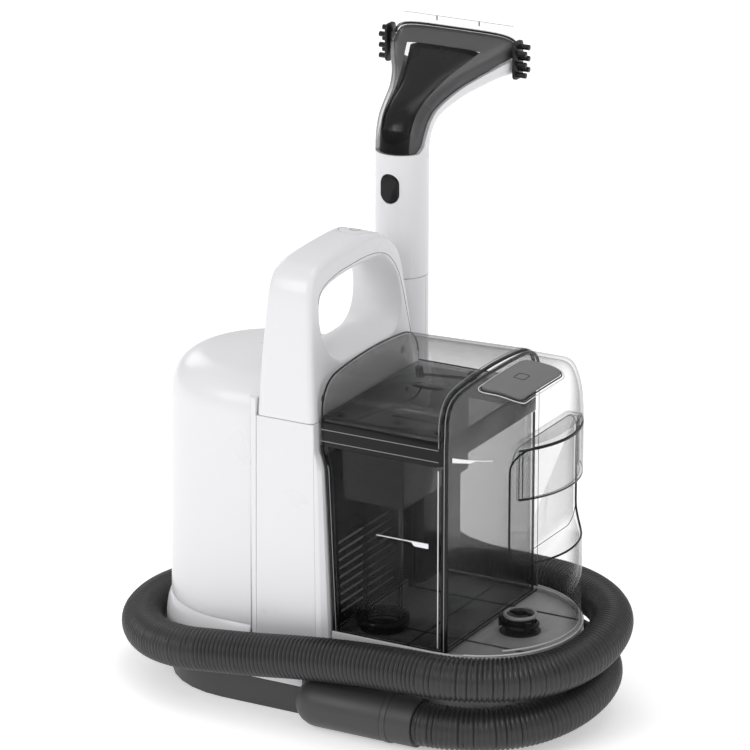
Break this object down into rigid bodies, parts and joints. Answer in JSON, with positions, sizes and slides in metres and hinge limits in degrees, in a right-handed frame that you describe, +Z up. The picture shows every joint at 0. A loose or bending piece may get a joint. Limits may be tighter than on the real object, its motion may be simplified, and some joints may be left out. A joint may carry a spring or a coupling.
{
  "type": "portable carpet cleaner",
  "caption": "Portable spot cleaner with a carry arch, lift-out clean and dirty water tanks, a hose coiled round its base and a flat suction hand tool docked upright.",
  "frame": {"origin": "on the flat underside, below the middle of the carry arch", "axes": "+Z up, +X towards the tanks, -Y the front that shows the elbow of the hose, +Y the side where the wand stands"},
  "size_m": [0.4252, 0.3159, 0.495],
  "materials": {
    "white_plastic": "soft gloss moulded",
    "dark_plastic": "satin moulded",
    "black_plastic": "satin moulded",
    "smoked_plastic": "polished, see-through",
    "clear_plastic": "polished, see-through",
    "light_grey_plastic": "fine texture",
    "foot_rubber": "matt",
    "filter_foam": "open foam",
    "screw_steel": "satin",
    "motor_steel": "satin",
    "button_plastic": "polished",
    "board_laminate": "laminate",
    "seal_rubber": "matt",
    "flap_rubber": "matt",
    "hose_plastic": "satin, ribbed"
  },
  "bodies": {
    "machine": {"base_pan": "dark_plastic", "foot_front_left": "foot_rubber", "foot_back_left": "foot_rubber", "foot_front_right": "foot_rubber", "foot_back_right": "foot_rubber", "lower_casing": "white_plastic", "motor_cover": "white_plastic", "exhaust_grille": "light_grey_plastic", "exhaust_filter": "filter_foam", "cord_inlet": "dark_plastic", "column_frame": "white_plastic", "front_panel": "white_plastic", "dock_wall": "dark_plastic", "handle_shell": "white_plastic", "side_screw_front": "screw_steel", "side_screw_back": "screw_steel", "grip_insert": "light_grey_plastic", "motor_mount": "dark_plastic", "motor_can": "motor_steel", "fan_shroud": "dark_plastic", "pump_bracket": "dark_plastic", "pump_body": "black_plastic", "control_board": "board_laminate", "tank_tray": "dark_plastic", "suction_port_seal": "seal_rubber", "recovery_duct": "dark_plastic", "clean_water_port": "black_plastic", "hose_lower_turn": "hose_plastic", "hose_upper_turn": "hose_plastic", "hose_elbow": "dark_plastic", "hose_collar": "dark_plastic", "wand_clip_left": "white_plastic", "wand_clip_right": "white_plastic"},
    "power_button": {"power_button_cap": "button_plastic"},
    "fan": {"fan_impeller": "black_plastic"},
    "dirty_tank": {"dirty_tank_shell": "smoked_plastic", "suction_tube": "smoked_plastic"},
    "dirty_tank_lid": {"lid_gasket": "seal_rubber", "lid_plate": "dark_plastic", "lid_cover": "smoked_plastic", "separator_box": "smoked_plastic", "float_guide": "dark_plastic"},
    "float_body": {"float": "black_plastic"},
    "clean_tank": {"clean_tank_shell": "clear_plastic", "tank_grip_bar": "clear_plastic", "valve_body": "black_plastic"},
    "valve": {"valve_plunger": "seal_rubber"},
    "flap": {"fill_flap": "flap_rubber"},
    "wand": {"hose_cuff": "dark_plastic", "handle_front_shell": "white_plastic", "handle_back_shell": "white_plastic", "wand_core": "dark_plastic"},
    "spray_trigger": {"spray_trigger_lever": "dark_plastic"},
    "tool": {"tool_body": "white_plastic", "tool_window": "smoked_plastic", "tool_duct": "black_plastic", "squeegee_lip": "clear_plastic", "brush_left": "black_plastic", "brush_right": "black_plastic"},
    "tool_release": {"tool_release_key": "button_plastic"}
  },
  "joints": [
    {"name": "power_button_press", "type": "slide", "parent": "machine", "child": "power_button", "axis": [0, 0, -1], "range_m": [0, 0.0012], "stiffness_N_per_m": 600, "springref_m": -0.0005},
    {"name": "fan_spin", "type": "hinge", "parent": "machine", "child": "fan", "pos_m": [-0.086, 0, 0.152], "axis": [0, 0, 1], "continuous": true},
    {"name": "dirty_tank_lift", "type": "slide", "parent": "machine", "child": "dirty_tank", "axis": [0, 0, 1], "range_m": [0, 0.12]},
    {"name": "dirty_tank_lid_lift", "type": "slide", "parent": "dirty_tank", "child": "dirty_tank_lid", "axis": [0, 0, 1], "range_m": [0, 0.09]},
    {"name": "float_rise", "type": "slide", "parent": "dirty_tank_lid", "child": "float_body", "axis": [0, 0, 1], "range_m": [0, 0.015]},
    {"name": "clean_tank_lift", "type": "slide", "parent": "machine", "child": "clean_tank", "axis": [0, 0, 1], "range_m": [0, 0.12]},
    {"name": "valve_lift", "type": "slide", "parent": "clean_tank", "child": "valve", "axis": [0, 0, 1], "range_m": [0, 0.003], "stiffness_N_per_m": 200, "springref_m": -0.001},
    {"name": "fill_flap_hinge", "type": "hinge", "parent": "clean_tank", "child": "flap", "pos_m": [0.148, 0, 0.2852], "axis": [0, -1, 0], "range_deg": [0, 90]},
    {"name": "wand_lift", "type": "slide", "parent": "machine", "child": "wand", "axis": [0, 0, 1], "range_m": [0, 0.06]},
    {"name": "spray_trigger_pull", "type": "hinge", "parent": "wand", "child": "spray_trigger", "pos_m": [0, 0.1215, 0.288], "axis": [-1, 0, 0], "range_deg": [0, 5], "stiffness_Nm_per_rad": 0.6, "springref_deg": -2.86},
    {"name": "tool_pull_off", "type": "slide", "parent": "wand", "child": "tool", "axis": [0, 0, 1], "range_m": [0, 0.09]},
    {"name": "tool_release_press", "type": "slide", "parent": "tool", "child": "tool_release", "axis": [0, 1, 0], "range_m": [0, 0.0012], "stiffness_N_per_m": 600, "springref_m": -0.0005}
  ]
}
